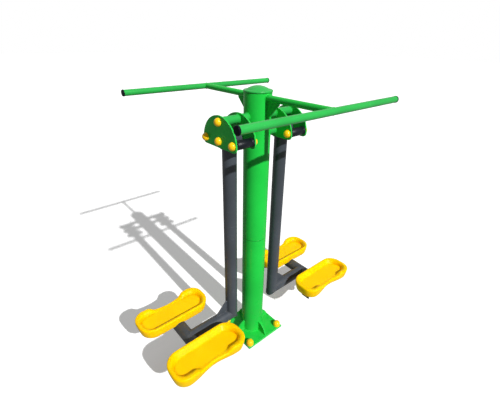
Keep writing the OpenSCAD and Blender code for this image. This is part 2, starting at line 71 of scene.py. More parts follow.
def spread(tree, value, low, high, outLow=0.0, outHigh=1.0):
    node = tree.nodes.new("ShaderNodeMapRange")
    node.interpolation_type = "SMOOTHSTEP"
    tree.links.new(value, node.inputs["Value"])
    for label, number in (("From Min", low), ("From Max", high), ("To Min", outLow), ("To Max", outHigh)):
        node.inputs[label].default_value = number
    return node.outputs["Result"]


def maskAt(tree, vector, pattern, outLow=0.0, outHigh=1.0):
    # pattern: the noise's scale, detail and roughness, then the range of it that becomes the mask
    scale, detail, rough, low, high = pattern
    return spread(tree, noiseAt(tree, vector, scale, detail, rough), low, high, outLow, outHigh)


def compute(tree, operation, first, second):
    node = tree.nodes.new("ShaderNodeMath")
    node.operation = operation
    feed(tree, first, node.inputs[0])
    feed(tree, second, node.inputs[1])
    return node.outputs[0]


def times(tree, first, second):
    return compute(tree, "MULTIPLY", first, second)


def colorSockets(node):
    # Mix nodes hold one A, B and Result per data type; the colour ones are picked by type
    ins = {s.name: s for s in node.inputs if s.type == "RGBA"}
    outs = [s for s in node.outputs if s.type == "RGBA"]
    return ins["A"], ins["B"], outs[0], [s for s in node.inputs if s.name == "Factor"][0]


def blendColors(tree, factor, first, second, blendType="MIX"):
    node = tree.nodes.new("ShaderNodeMix")
    node.data_type = "RGBA"
    node.blend_type = blendType
    a, b, result, share = colorSockets(node)
    for socket, value in ((share, factor), (a, first), (b, second)):
        feed(tree, value, socket)
    return result


def objectVector(tree, stretch=None):
    coords = tree.nodes.new("ShaderNodeTexCoord")
    if not stretch:
        return coords.outputs["Object"]
    mapping = tree.nodes.new("ShaderNodeMapping")
    mapping.inputs["Scale"].default_value = stretch
    tree.links.new(coords.outputs["Object"], mapping.inputs["Vector"])
    return mapping.outputs["Vector"]


def attributeValue(tree, name):
    node = tree.nodes.new("ShaderNodeAttribute")
    node.attribute_name = name
    return node.outputs["Fac"]


def bumpFrom(tree, height, distance, strength, below=None):
    node = tree.nodes.new("ShaderNodeBump")
    node.inputs["Distance"].default_value = distance
    feed(tree, strength, node.inputs["Strength"])
    tree.links.new(height, node.inputs["Height"])
    if below:
        tree.links.new(below, node.inputs["Normal"])
    return node.outputs["Normal"]


def tonedColor(tree, plain, ins, pattern):
    # The base colour, made cloudy by the tone share
    tone = compute(tree, "ADD", 1.0, times(tree, maskAt(tree, plain, pattern, -1.0, 1.0), ins["Tone Share"]))
    toneColor = tree.nodes.new("ShaderNodeCombineColor")
    for index in range(3):
        tree.links.new(tone, toneColor.inputs[index])
    return blendColors(tree, 1.0, ins["Color"], toneColor.outputs[0], "MULTIPLY")


def finishNormal(tree, plain, marks, scale, strength):
    # Fine texture under a broad, faint waviness
    fine = bumpFrom(tree, noiseAt(tree, plain, scale, marks["fineDetail"]), marks["fineDepth"], strength)
    waves = noiseAt(tree, plain, marks["waveScale"])
    return bumpFrom(tree, waves, marks["waveDepth"], marks["waveShare"], fine)


coatMarks = {
    "cloud": (4.5, 4, 0.5, 0.32, 0.68), "streaks": (62, 5, 0.62, 0.6, 0.7), "patches": (9, 2, 0.5, 0.5, 0.66),
    "chips": (140, 4, 0.6, 0.47, 0.6), "grit": (38, 6, 0.68, 0.42, 0.68), "satin": (22, 4, 0.5, 0.3, 0.7),
    "streakStretch": (1, 1, 7), "edgeBase": 0.35, "dustTop": 0.32, "satinRange": (-0.05, 0.06),
    "scuffRoughness": 0.25, "dustRoughness": 0.4,
    "fineDetail": 2, "fineDepth": 0.0006, "waveScale": 60, "waveDepth": 0.0012, "waveShare": 0.12,
}


def makeCoatGroup(marks):
    # Powder coat: cloudy tone, fine scuffs, worn edges lightened partly as a painted highlight, gaps painted
    # dark as shade, dust near the ground, orange peel
    tree, ins, outs = startGroup(
        "powderCoat",
        {"Color": (0.5, 0.5, 0.5, 1), "Wear And Sheen Color": (0.5, 0.5, 0.5, 1), "Dust Color": (0.4, 0.36, 0.3, 1),
         "Gap Shade Color": (0.003, 0.05, 0.012, 1)},
        {"Tone Share": 0.1, "Wear": 0.5, "Scuffs": 0.3, "Dust": 0.3, "Roughness": 0.3, "Peel Scale": 420.0,
         "Peel": 0.25})
    plain = objectVector(tree)
    toned = tonedColor(tree, plain, ins, marks["cloud"])

    streaks = maskAt(tree, objectVector(tree, marks["streakStretch"]), marks["streaks"])
    patches = maskAt(tree, plain, marks["patches"])
    scuffMask = times(tree, times(tree, streaks, patches), ins["Scuffs"])
    scuffed = blendColors(tree, scuffMask, toned, ins["Wear And Sheen Color"])

    edgeShare = attributeValue(tree, "edgeWearSheenShade")
    chips = times(tree, maskAt(tree, plain, marks["chips"]), 1 - marks["edgeBase"])
    chipped = compute(tree, "ADD", marks["edgeBase"], chips)
    # The edges' lighter colour is partly worn paint and partly a painted highlight along the edges
    edgeWearSheenMask = times(tree, times(tree, edgeShare, ins["Wear"]), chipped)
    wornAndSheened = blendColors(tree, edgeWearSheenMask, scuffed, ins["Wear And Sheen Color"])
    # An edge with a share below nothing is a gap, painted dark as shade
    gapShadeMask = compute(tree, "MAXIMUM", times(tree, edgeShare, -1.0), 0.0)
    gapShaded = blendColors(tree, gapShadeMask, wornAndSheened, ins["Gap Shade Color"])

    place = tree.nodes.new("ShaderNodeSeparateXYZ")
    tree.links.new(plain, place.inputs[0])
    low = spread(tree, place.outputs["Z"], 0.0, marks["dustTop"], 1.0, 0.0)
    dustMask = times(tree, times(tree, low, maskAt(tree, plain, marks["grit"])), ins["Dust"])
    tree.links.new(blendColors(tree, dustMask, gapShaded, ins["Dust Color"]), outs["Color"])

    rough = compute(tree, "ADD", ins["Roughness"], maskAt(tree, plain, marks["satin"], *marks["satinRange"]))
    rough = compute(tree, "ADD", rough, times(tree, scuffMask, marks["scuffRoughness"]))
    rough = compute(tree, "ADD", rough, times(tree, dustMask, marks["dustRoughness"]))
    tree.links.new(rough, outs["Roughness"])
    tree.links.new(finishNormal(tree, plain, marks, ins["Peel Scale"], ins["Peel"]), outs["Normal"])
    return tree


mouldingMarks = {
    "cloud": (11, 4, 0.5, 0.3, 0.7), "creaseShadeNoise": (75, 5, 0.6, 0.25, 0.75), "strokes": (26, 6, 0.66, 0.58, 0.68),
    "areas": (17, 2, 0.5, 0.48, 0.62), "satin": (45, 4, 0.5, 0.3, 0.7),
    "strokeStretch": (2.5, 9, 9), "creaseShadeNoiseRange": (0.55, 1.0), "satinRange": (-0.05, 0.07), "rubRoughness": 0.3,
    "fineDetail": 3, "fineDepth": 0.0004, "waveScale": 34, "waveDepth": 0.0014, "waveShare": 0.1,
}


def makeMouldingGroup(marks):
    # Moulded plastic and rubber: faint flow marks, rubbed high spots, painted shade in the creases, fine
    # grain
    tree, ins, outs = startGroup(
        "mouldedSkin",
        {"Color": (0.5, 0.5, 0.5, 1), "Crease Shade Color": (0.3, 0.2, 0.1, 1), "Rub Color": (0.7, 0.7, 0.7, 1)},
        {"Crease Shade": 0.5, "Rub": 0.2, "Tone Share": 0.06, "Roughness": 0.4, "Grain Scale": 900.0,
         "Grain": 0.2})
    plain = objectVector(tree)
    toned = tonedColor(tree, plain, ins, marks["cloud"])

    # Painted shade: the creases take a dark orange, broken up by noise
    creaseShadeNoise = times(tree, maskAt(tree, plain, marks["creaseShadeNoise"], *marks["creaseShadeNoiseRange"]), ins["Crease Shade"])
    hollowMask = times(tree, attributeValue(tree, "hollow"), creaseShadeNoise)
    creaseShaded = blendColors(tree, hollowMask, toned, ins["Crease Shade Color"])

    strokes = maskAt(tree, objectVector(tree, marks["strokeStretch"]), marks["strokes"])
    rubMask = times(tree, times(tree, strokes, maskAt(tree, plain, marks["areas"])), ins["Rub"])
    tree.links.new(blendColors(tree, rubMask, creaseShaded, ins["Rub Color"]), outs["Color"])

    satin = compute(tree, "ADD", ins["Roughness"], maskAt(tree, plain, marks["satin"], *marks["satinRange"]))
    rough = compute(tree, "ADD", satin, times(tree, rubMask, marks["rubRoughness"]))
    tree.links.new(rough, outs["Roughness"])
    tree.links.new(finishNormal(tree, plain, marks, ins["Grain Scale"], ins["Grain"]), outs["Normal"])
    return tree


coatGroup = makeCoatGroup(coatMarks)
mouldingGroup = makeMouldingGroup(mouldingMarks)


def makeMaterial(name, group, groupValues, shaderValues):
    material = bpy.data.materials.new(name)
    material.use_nodes = True
    tree = material.node_tree
    shader = tree.nodes["Principled BSDF"]
    for label, value in shaderValues.items():
        shader.inputs[label].default_value = value
    node = tree.nodes.new("ShaderNodeGroup")
    node.node_tree = group
    for label, value in groupValues.items():
        node.inputs[label].default_value = value
    for given, taken in (("Color", "Base Color"), ("Roughness", "Roughness"), ("Normal", "Normal")):
        tree.links.new(node.outputs[given], shader.inputs[taken])
    return material


finishes = {
    "greenCoat": {
        "Color": (0.014, 0.56, 0.057, 1), "Wear And Sheen Color": (0.2, 0.74, 0.28, 1),
        "Dust Color": (0.12, 0.36, 0.12, 1), "Tone Share": 0.08, "Wear": 0.8, "Scuffs": 0.16, "Dust": 0.22,
        "Roughness": 0.3, "Peel Scale": 420.0, "Peel": 0.3},
    # A darker, duller green for the upper parts is painted light: shade and sheen for how light falls there
    "paintedLightCoat": {
        "Color": (0.026, 0.41, 0.07, 1), "Wear And Sheen Color": (0.2, 0.6, 0.26, 1),
        "Dust Color": (0.12, 0.36, 0.18, 1), "Tone Share": 0.12, "Wear": 0.6, "Scuffs": 0.35, "Dust": 0.4,
        "Roughness": 0.34, "Peel Scale": 420.0, "Peel": 0.3},
    "darkCoat": {
        "Color": (0.049, 0.058, 0.071, 1), "Wear And Sheen Color": (0.24, 0.25, 0.28, 1),
        "Dust Color": (0.2, 0.19, 0.17, 1), "Tone Share": 0.14, "Wear": 0.7, "Scuffs": 0.4, "Dust": 0.45,
        "Roughness": 0.38, "Peel Scale": 460.0, "Peel": 0.3},
    "zincSteel": {
        "Color": (0.52, 0.53, 0.55, 1), "Wear And Sheen Color": (0.72, 0.73, 0.75, 1),
        "Dust Color": (0.3, 0.27, 0.23, 1), "Tone Share": 0.12, "Wear": 0.5, "Scuffs": 0.5, "Dust": 0.3,
        "Roughness": 0.36, "Peel Scale": 800.0, "Peel": 0.15},
    # The yellow's crease colour is painted shade for the pedals' wells
    "yellowMoulding": {
        "Color": (0.93, 0.565, 0.0, 1), "Crease Shade Color": (0.72, 0.2, 0.0, 1),
        "Rub Color": (1.0, 0.76, 0.14, 1), "Crease Shade": 0.75, "Rub": 0.2, "Tone Share": 0.035,
        "Roughness": 0.36, "Grain Scale": 1100.0, "Grain": 0.22},
    "amberCap": {
        "Color": (1.0, 0.6, 0.008, 1), "Crease Shade Color": (0.5, 0.2, 0.0, 1),
        "Rub Color": (1.0, 0.7, 0.2, 1), "Crease Shade": 0.6, "Rub": 0.2, "Tone Share": 0.06,
        "Roughness": 0.26, "Grain Scale": 1300.0, "Grain": 0.12},
    "blackRubber": {
        "Color": (0.005, 0.007, 0.011, 1), "Crease Shade Color": (0.004, 0.005, 0.007, 1),
        "Rub Color": (0.05, 0.055, 0.06, 1), "Crease Shade": 0.5, "Rub": 0.5, "Tone Share": 0.2,
        "Roughness": 0.4, "Grain Scale": 1500.0, "Grain": 0.35},
    "blackPlastic": {
        "Color": (0.006, 0.008, 0.012, 1), "Crease Shade Color": (0.005, 0.005, 0.008, 1),
        "Rub Color": (0.06, 0.06, 0.07, 1), "Crease Shade": 0.5, "Rub": 0.5, "Tone Share": 0.15, "Roughness": 0.42,
        "Grain Scale": 1200.0, "Grain": 0.3},
}
greenCoat = makeMaterial("greenCoat", coatGroup, finishes["greenCoat"],
                         {"Coat Weight": 0.05, "Coat Roughness": 0.2, "Specular IOR Level": 0.12})
paintedLightCoat = makeMaterial("paintedLightCoat", coatGroup, finishes["paintedLightCoat"],
                         {"Coat Weight": 0.05, "Coat Roughness": 0.25, "Specular IOR Level": 0.2})
darkCoat = makeMaterial("darkCoat", coatGroup, finishes["darkCoat"],
                        {"Coat Weight": 0.08, "Coat Roughness": 0.22, "Specular IOR Level": 0.32})
zincSteel = makeMaterial("zincSteel", coatGroup, finishes["zincSteel"], {"Metallic": 1.0})
# The faint orange glow is painted light: it lifts the pedals' shaded walls to orange
yellowMoulding = makeMaterial("yellowMoulding", mouldingGroup, finishes["yellowMoulding"],
                              {"Specular IOR Level": 0.07, "Subsurface Weight": 0.3,
                               "Subsurface Radius": (1.0, 0.3, 0.05), "Subsurface Scale": 0.003,
                               "Emission Color": (1.0, 0.55, 0.0, 1), "Emission Strength": 0.12})
# The faint orange glow is painted light that lifts the caps' shaded sides
amberCap = makeMaterial("amberCap", mouldingGroup, finishes["amberCap"],
                        {"Coat Weight": 0.12, "Coat Roughness": 0.12, "Specular IOR Level": 0.2,
                         "Emission Color": (1.0, 0.4, 0.0, 1), "Emission Strength": 0.06})
blackRubber = makeMaterial("blackRubber", mouldingGroup, finishes["blackRubber"],
                           {"Specular IOR Level": 0.25})
blackPlastic = makeMaterial("blackPlastic", mouldingGroup, finishes["blackPlastic"],
                            {"Specular IOR Level": 0.05})
print("finishes made")


# Making pieces

edgeValues = {"sharpTurn": 38, "weldTurn": 60, "sleeveTurn": 50, "bevelTurn": 50, "bevelSegments": 2,
              "flatTurn": 0.5, "mergeGap": 0.01 * mm, "latheGap": 0.005 * mm, "beadGap": 0.002 * mm,
              "gapShadeShare": -0.85}


def settle(bm, name, body, material, stands=(), sharpTurn=edgeValues["sharpTurn"]):
    bmesh.ops.recalc_face_normals(bm, faces=bm.faces[:])
    mesh = bpy.data.meshes.new(name)
    bm.to_mesh(mesh)
    bm.free()
    mesh.polygons.foreach_set("use_smooth", [True] * len(mesh.polygons))
    mesh.set_sharp_from_angle(angle=math.radians(sharpTurn))
    mesh.materials.append(material)
    piece = bpy.data.objects.new(name, mesh)
    bpy.context.scene.collection.objects.link(piece)
    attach(piece, body)
    if stands:
        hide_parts(*stands)
    return piece


def markRoundedEdges(bm, width, share):
    # Rounds the sharp edges and marks the new strips with a share: above nothing for edge wear and painted
    # highlight, below nothing for painted gap shade
    edgeLayer = bm.loops.layers.float.new("edgeWearSheenShade")
    sharp = math.radians(edgeValues["bevelTurn"])
    edges = [e for e in bm.edges if len(e.link_faces) == 2 and e.calc_face_angle(0) > sharp]
    made = bmesh.ops.bevel(bm, geom=edges, offset=width, offset_type="OFFSET", affect="EDGES",
                           segments=edgeValues["bevelSegments"], profile=0.5, material=-1, clamp_overlap=True)
    for face in made["faces"]:
        for corner in face.loops:
            corner[edgeLayer] = share


def dressNode(node, material, body, bevel, edgeMarkShare=1.0):
    bm = bmesh.new()
    bm.from_mesh(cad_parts[node].data)
    bmesh.ops.remove_doubles(bm, verts=bm.verts[:], dist=edgeValues["mergeGap"])
    bmesh.ops.dissolve_limit(bm, angle_limit=math.radians(edgeValues["flatTurn"]), verts=bm.verts[:],
                             edges=bm.edges[:])
    if bevel:
        markRoundedEdges(bm, bevel * mm, edgeMarkShare)
    piece = settle(bm, "dressed_" + node, body, material, [node])
    # Keeps large flat faces flat beside their rounded edges
    piece.modifiers.new("even shading", "WEIGHTED_NORMAL").keep_sharp = True


def lathe(profile, steps):
    # profile is a closed outline in (radius, height), in mm; a full turn about Z
    bm = bmesh.new()
    points = [bm.verts.new((r * mm, 0, z * mm)) for r, z in profile]
    edges = [bm.edges.new(pair) for pair in zip(points, points[1:] + points[:1])]
    bmesh.ops.spin(bm, geom=points + edges, axis=(0, 0, 1), cent=(0, 0, 0), angle=math.tau, steps=steps,
                   use_merge=True)
    bmesh.ops.remove_doubles(bm, verts=bm.verts[:], dist=edgeValues["latheGap"])
    bmesh.ops.delete(bm, geom=[e for e in bm.edges if not e.link_faces], context="EDGES")
    return bm


def arcPoints(centreR, centreZ, radius, fromDeg, toDeg, steps):
    turns = [math.radians(fromDeg + (toDeg - fromDeg) * i / steps) for i in range(steps + 1)]
    return [(centreR + radius * math.cos(t), centreZ + radius * math.sin(t)) for t in turns]


def turned(direction):
    # Takes +Z to the given direction
    return Vector(direction).to_track_quat("Z", "Y").to_matrix().to_4x4()


def copiesOf(shape, places):
    # One mesh with a copy of the shape at each (position in mm, direction)
    whole = bmesh.new()
    for position, direction in places:
        part = bpy.data.meshes.new("part")
        shape.to_mesh(part)
        part.transform(Matrix.Translation(Vector(position) * mm) @ turned(direction))
        whole.from_mesh(part)
        bpy.data.meshes.remove(part)
    shape.free()
    return whole


sides = (-1, 1)
sideNames = {-1: "left", 1: "right"}
endNames = {-1: "front", 1: "rear"}


# Plates, tubes and ribs: copies of the frame's own solids with rounded edges, worn and partly lightened as a
# painted highlight, and on the post painted dark as shade

greenNodes = {
    "base_plate": 1.5, "base_ribs": 1.0, "post_lower_tube": 2.4, "post_upper_tube": 2.4,
    "support_front": 0, "support_rear": 0, "bar_gusset_front": 0.8, "bar_gusset_rear": 0.8,
    "handlebar_front": 0.6, "handlebar_rear": 0.6, "carrier_tube_upper": 0.6, "carrier_tube_lower": 0.6,
    "bracket_left_inner": 1.1, "bracket_left_outer": 1.1, "bracket_right_inner": 1.1,
    "bracket_right_outer": 1.1, "bracket_spacers": 0.5,
}
# Bars, carriers and spacers take the darker, duller green of painted light
paintedLightNodes = ("handlebar", "carrier", "bracket_spacers")
for node, bevel in greenNodes.items():
    coat = paintedLightCoat if node.startswith(paintedLightNodes) else greenCoat
    # The post tubes' rounded edges are painted dark: painted shade in the seam and under the cap
    share = edgeValues["gapShadeShare"] if node.startswith("post") else 1.0
    dressNode(node, coat, "frame", bevel, share)
darkNodes = {"hub": 0.8, "arm_tube": 0, "foot_tube": 0, "elbow_gusset": 0.9, "cross_tube": 1.5,
             "saddle_plates": 0.8}
for side in sides:
    for node, bevel in darkNodes.items():
        dressNode(node + "_" + sideNames[side], darkCoat, "arm_" + sideNames[side], bevel)
steelNodes = ["post_seam_sleeve", "stop_cores", "stop_bolts", "tie_rod", "pivot_shaft", "pivot_spacers",
              "bracket_nuts", "bearings_left", "bearings_right", "pedal_bolts_left", "pedal_bolts_right"]
for node in steelNodes:
    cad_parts[node].data.materials.clear()
    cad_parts[node].data.materials.append(zincSteel)
print("plates and tubes dressed")


# Post cap: a rolled rim with a low dome

postCap = {"rimRadius": 59.5, "bead": 10.0, "height": 25.0, "postTop": 1274.0, "spigotRadius": 52.7,
           "spigotLength": 12.0, "wall": 4.0, "domeSteps": 16, "beadSteps": 10, "steps": 96}


def makePostCap(values):
    bead = values["bead"] / 2
    dishR = values["rimRadius"] - bead
    rise = values["height"] - bead
    ball = (dishR ** 2 + rise ** 2) / (2 * rise)
    centre = values["height"] - ball
    startAngle = math.degrees(math.asin((2 * bead - centre) / ball))
    dome = arcPoints(0, centre, ball, startAngle, 90, values["domeSteps"])
    spigot = values["spigotRadius"]
    inner = spigot - values["wall"]
    depth = values["spigotLength"]
    profile = [(inner, -depth), (spigot, -depth), (spigot, 0)]
    profile += arcPoints(dishR, bead, bead, -90, 90, values["beadSteps"]) + dome
    profile += [(0, bead), (inner, bead)]
    bm = lathe(profile, values["steps"])
    bmesh.ops.translate(bm, verts=bm.verts[:], vec=(0, 0, values["postTop"] * mm))
    bm.loops.layers.float.new("edgeWearSheenShade")
    settle(bm, "post_dome", "frame", paintedLightCoat, ["post_cap"])


makePostCap(postCap)


# Domed caps over the anchors and the bracket's bolts

anchorCaps = {"radius": 19.0, "height": 29.0, "wall": 2.0, "skirt": 6.96, "foot": 0.6, "at": 100.0,
              "plateTop": 10.0, "domeSteps": 12, "insideSteps": 8, "steps": 48}
boltCaps = {"radius": 16.0, "height": 18.0, "wall": 2.0, "skirt": 4.32, "foot": 0.6, "pivotHeight": 1110.0,
            "topHeight": 1183.0, "stopOffset": 85.0, "outerFace": 194.0, "innerFace": 96.0, "domeSteps": 12,
            "insideSteps": 8, "steps": 48}


def domeArc(radius, height, skirt, steps):
    # From the top of the straight skirt up to the crown
    rise = height - skirt
    ball = (radius ** 2 + rise ** 2) / (2 * rise)
    return arcPoints(0, height - ball, ball, math.degrees(math.acos(radius / ball)), 90, steps)


def makeCaps(values, name, places, node):
    radius, height, wall, skirt = (values[k] for k in ("radius", "height", "wall", "skirt"))
    outer = domeArc(radius, height, skirt, values["domeSteps"])
    inner = domeArc(radius - wall, height - wall, skirt, values["insideSteps"])[::-1]
    profile = [(radius - values["foot"], 0), (radius, values["foot"])] + outer + inner + [(radius - wall, 0)]
    shape = lathe(profile, values["steps"])
    settle(copiesOf(shape, places), name, "frame", amberCap, [node])


def anchorPlaces(values):
    at = values["at"]
    return [((x * at, y * at, values["plateTop"]), (0, 0, 1)) for x in sides for y in sides]


def boltPlaces(values):
    outer, inner, pivot, offset = (values[k] for k in ("outerFace", "innerFace", "pivotHeight", "stopOffset"))
    places = []
    for x in sides:
        places += [((x * outer, 0, pivot), (x, 0, 0)), ((x * outer, 0, values["topHeight"]), (x, 0, 0))]
        for y in sides:
            places.append(((x * outer, y * offset, pivot), (x, 0, 0)))
            places.append(((x * inner, y * offset, pivot), (-x, 0, 0)))
    return places


makeCaps(anchorCaps, "anchor_domes", anchorPlaces(anchorCaps), "anchor_caps")
makeCaps(boltCaps, "bolt_domes", boltPlaces(boltCaps), "bracket_caps")
print("caps made")


# Rubber stop sleeves and the bars' end plugs

stopSleeves = {"radius": 18.0, "bore": 12.0, "length": 86.0, "at": (145.0, 85.0, 1110.0), "edge": 2.0,
               "groove": 0.5, "grooveShare": 0.8, "edgeSteps": 4, "steps": 64}
endPlugs = {"radius": 13.5, "insideRadius": 10.0, "length": 6.0, "edge": 3.0, "spigot": 18.0,
            "at": (394.0, 364.0, 1258.0), "edgeSteps": 6, "steps": 48}


def fourPlaces(at):
    return [((x * at[0], y * at[1], at[2]), (x, 0, 0)) for x in sides for y in sides]


def makeSleeves(values):
    half, r, edge, groove = values["length"] / 2, values["radius"], values["edge"], values["groove"]
    profile = [(values["bore"], -half)] + arcPoints(r - edge, edge - half, edge, -90, 0, values["edgeSteps"])
    for end in sides:  # a moulded line near each end
        z = end * values["grooveShare"] * half
        profile += [(r, z - groove), (r - groove, z), (r, z + groove)]
    profile += arcPoints(r - edge, half - edge, edge, 0, 90, values["edgeSteps"]) + [(values["bore"], half)]
    whole = copiesOf(lathe(profile, values["steps"]), fourPlaces(values["at"]))
    settle(whole, "rubber_sleeves", "frame", blackRubber, ["stop_sleeves"],
           edgeValues["sleeveTurn"])


def makePlugs(values):
    r, edge, length, inside = (values[k] for k in ("radius", "edge", "length", "insideRadius"))
    profile = [(0, -values["spigot"]), (inside, -values["spigot"]), (inside, 0), (r, 0)]
    profile += arcPoints(r - edge, length - edge, edge, 0, 90, values["edgeSteps"]) + [(0, length)]
    whole = copiesOf(lathe(profile, values["steps"]), fourPlaces(values["at"]))
    settle(whole, "bar_plugs", "frame", blackPlastic, ["handlebar_plugs"])


makeSleeves(stopSleeves)
makePlugs(endPlugs)
print("sleeves and plugs made")


# Foot pedals: outline rings bridged into one moulding, with a notch over the cross tube

pedal = {
    "length": 360.0, "width": 155.0, "height": 54.0, "floorDrop": 22.0, "wall": 4.0, "rim": 7.0,
    "endIn": 26.0, "straightIn": 36.0, "lobeIn": 34.0, "waistIn": 16.0, "waistDip": 20.0,
    "dipShares": (0.1, 0.5), "skirtIn": 8.0, "skirtEdge": 1.2, "rimShares": (0.44, 0.36),
    "wellShares": (0.52, 0.42), "wallPower": 3.0, "swellPower": 1.6, "endMargin": 10.0, "endBlend": 45.0,
    "lobeStartShare": 0.35, "lobeBlendShare": 0.3, "hollowStart": 0.5,
    "floorRings": ((1.5, 0.7), (5.0, 0.2), (14.0, 0.0)), "crossAt": 397.0, "inboard": 75.0,
    "skirtHeight": 210.0, "tubeDrop": 20.0, "notchRadius": 34.5, "notchSides": 96, "arcSteps": 10,
    "waistSteps": 32, "swellSteps": 6, "rimSteps": 8, "slopeSteps": 14,
}


def held(value):
    return min(1.0, max(0.0, value))


def eased(t):
    return t * t * (3 - 2 * t)


def quarterTurn(centre, radius, fromDeg, steps):
    turns = [math.radians(fromDeg + 90 * i / steps) for i in range(steps + 1)]
    return [Vector((centre[0] + radius * math.cos(t), centre[1] + radius * math.sin(t))) for t in turns]


def pedalOutline(v, inset, shares, waist):
    half, low, high = v["length"] / 2 - inset[0], inset[1], v["width"] - inset[2]
    straightR, lobeR = (high - low) * shares[0], (high - low) * shares[1]
    run, n = half - lobeR, v["waistSteps"]
    points = quarterTurn((straightR - half, low + straightR), straightR, 180, v["arcSteps"])
    points += [Vector(((half - straightR) * (2 * i / n - 1), low)) for i in range(1, n)]
    points += quarterTurn((half - straightR, low + straightR), straightR, 270, v["arcSteps"])
    points += quarterTurn((run, high - lobeR), lobeR, 0, v["arcSteps"])
    for i in range(1, n):
        s = 1 - 2 * i / n
        points.append(Vector((run * s, high - waist * (1 + math.cos(math.pi * s)) / 2)))
    points += quarterTurn((-run, high - lobeR), lobeR, 90, v["arcSteps"])
    return points


def pedalDips(v):
    n = v["waistSteps"]
    flat = [0.0] * (3 * (v["arcSteps"] + 1) + n - 1)
    low, high = v["dipShares"]
    waist = [(1 + math.cos(math.pi * (1 - 2 * i / n))) / 2 for i in range(1, n)]
    return flat + [eased(held((w - low) / (high - low))) for w in waist] + [0.0] * (v["arcSteps"] + 1)


def pedalSteepness(v, outline, dips):
    # 0 along the straight side and the waist, 1 round the ends and lobes
    reach, blend = v["length"] / 2 - v["endMargin"], v["endBlend"]
    shares = []
    for point, dip in zip(outline, dips):
        byEnd = held((abs(point.x) - reach + blend) / blend)
        byLobe = held((point.y / v["width"] - v["lobeStartShare"]) / v["lobeBlendShare"])
        shares.append(max(byEnd, byLobe) * (1 - dip))
    return shares


def pedalRings(v):
    # Each ring: (points in x and y, heights, shares of painted crease shade), from the skirt's inside to the
    # floor
    dips = pedalDips(v)
    plain = [0.0] * len(dips)

    def level(z, dip):
        return [z - dip * d for d in dips]

    def outside(inset):
        return pedalOutline(v, [inset] * 3, v["rimShares"], v["waistIn"])

    def inside(inset):
        return pedalOutline(v, [v[k] + inset for k in ("endIn", "straightIn", "lobeIn")], v["wellShares"], 0)

    under, edge = v["height"] - v["floorDrop"] - v["wall"], v["skirtEdge"]
    shoulder = v["height"] - v["rim"]
    skirt = ((2 * v["wall"], under), (v["wall"], 0), (edge, 0), (0, edge))
    rings = [(outside(v["skirtIn"] + inset), level(z, 0), plain) for inset, z in skirt]
    low, top = outside(v["skirtIn"]), outside(0)
    for i in range(1, v["swellSteps"]):  # the wall swells a little from the skirt to the rim
        t = i / v["swellSteps"]
        share = 1 - (1 - t) ** v["swellPower"]
        heights = level(edge + (shoulder - edge) * t, v["waistDip"] * t)
        rings.append(([a.lerp(b, share) for a, b in zip(low, top)], heights, plain))
    for i in range(v["rimSteps"] + 1):  # over the outer half of the rolled rim
        turn = math.radians(90 * i / v["rimSteps"])
        heights = level(shoulder + v["rim"] * math.sin(turn), v["waistDip"])
        rings.append((outside(v["rim"] * (1 - math.cos(turn))), heights, plain))
    crest = rings[-1][0]
    floor = inside(0)
    steep = pedalSteepness(v, crest, dips)
    for i in range(1, v["slopeSteps"] + 1):  # down the well's side
        t = i / v["slopeSteps"]
        heights = []
        for dip, share in zip(dips, steep):
            fall = eased(t) + (t ** v["wallPower"] - eased(t)) * share
            drop = v["waistDip"] * dip
            heights.append(v["height"] - drop - (v["floorDrop"] - drop) * fall)
        # The painted crease shade grows towards the foot of the well's steep sides
        near = max(0.0, (t - v["hollowStart"]) / (1 - v["hollowStart"])) ** 2
        rings.append(([a.lerp(b, t) for a, b in zip(crest, floor)], heights, [near * s for s in steep]))
    for inset, near in v["floorRings"]:
        rings.append((inside(inset), level(v["height"] - v["floorDrop"], 0), [near * s for s in steep]))
    return rings


def cutNotch(piece, v, side, end):
    # The straight side's wall is open where the cross tube passes
    cutter = bmesh.new()
    axis = Vector((side * v["crossAt"], end * v["inboard"], v["skirtHeight"] - v["tubeDrop"])) * mm
    radius = v["notchRadius"] * mm
    bmesh.ops.create_cone(cutter, cap_ends=True, segments=v["notchSides"], radius1=radius, radius2=radius,
                          depth=v["width"] * mm, matrix=Matrix.Translation(axis) @ turned((0, 1, 0)))
    mesh = bpy.data.meshes.new("notchCutter")
    cutter.to_mesh(mesh)
    cutter.free()
    tool = bpy.data.objects.new("notchCutter", mesh)
    bpy.context.scene.collection.objects.link(tool)
    change = piece.modifiers.new("notch", "BOOLEAN")
    change.operation, change.solver, change.object = "DIFFERENCE", "EXACT", tool
    bpy.context.view_layer.update()
    cut = bpy.data.meshes.new_from_object(piece.evaluated_get(bpy.context.evaluated_depsgraph_get()))
    piece.modifiers.clear()
    piece.data = cut
    bpy.data.objects.remove(tool)
    piece.data.set_sharp_from_angle(angle=math.radians(edgeValues["sharpTurn"]))


def ringEdges(bm, ring):
    return [bm.edges.get(pair) for pair in zip(ring, ring[1:] + ring[:1])]


def liftRing(bm, ring):
    # Extrudes a closed row of edges; the new vertices keep the old ones' order
    made = bmesh.ops.extrude_edge_only(bm, edges=ringEdges(bm, ring))["geom"]
    fresh = {item for item in made if isinstance(item, bmesh.types.BMVert)}
    return [next(e.other_vert(v) for e in v.link_edges if e.other_vert(v) in fresh) for v in ring]


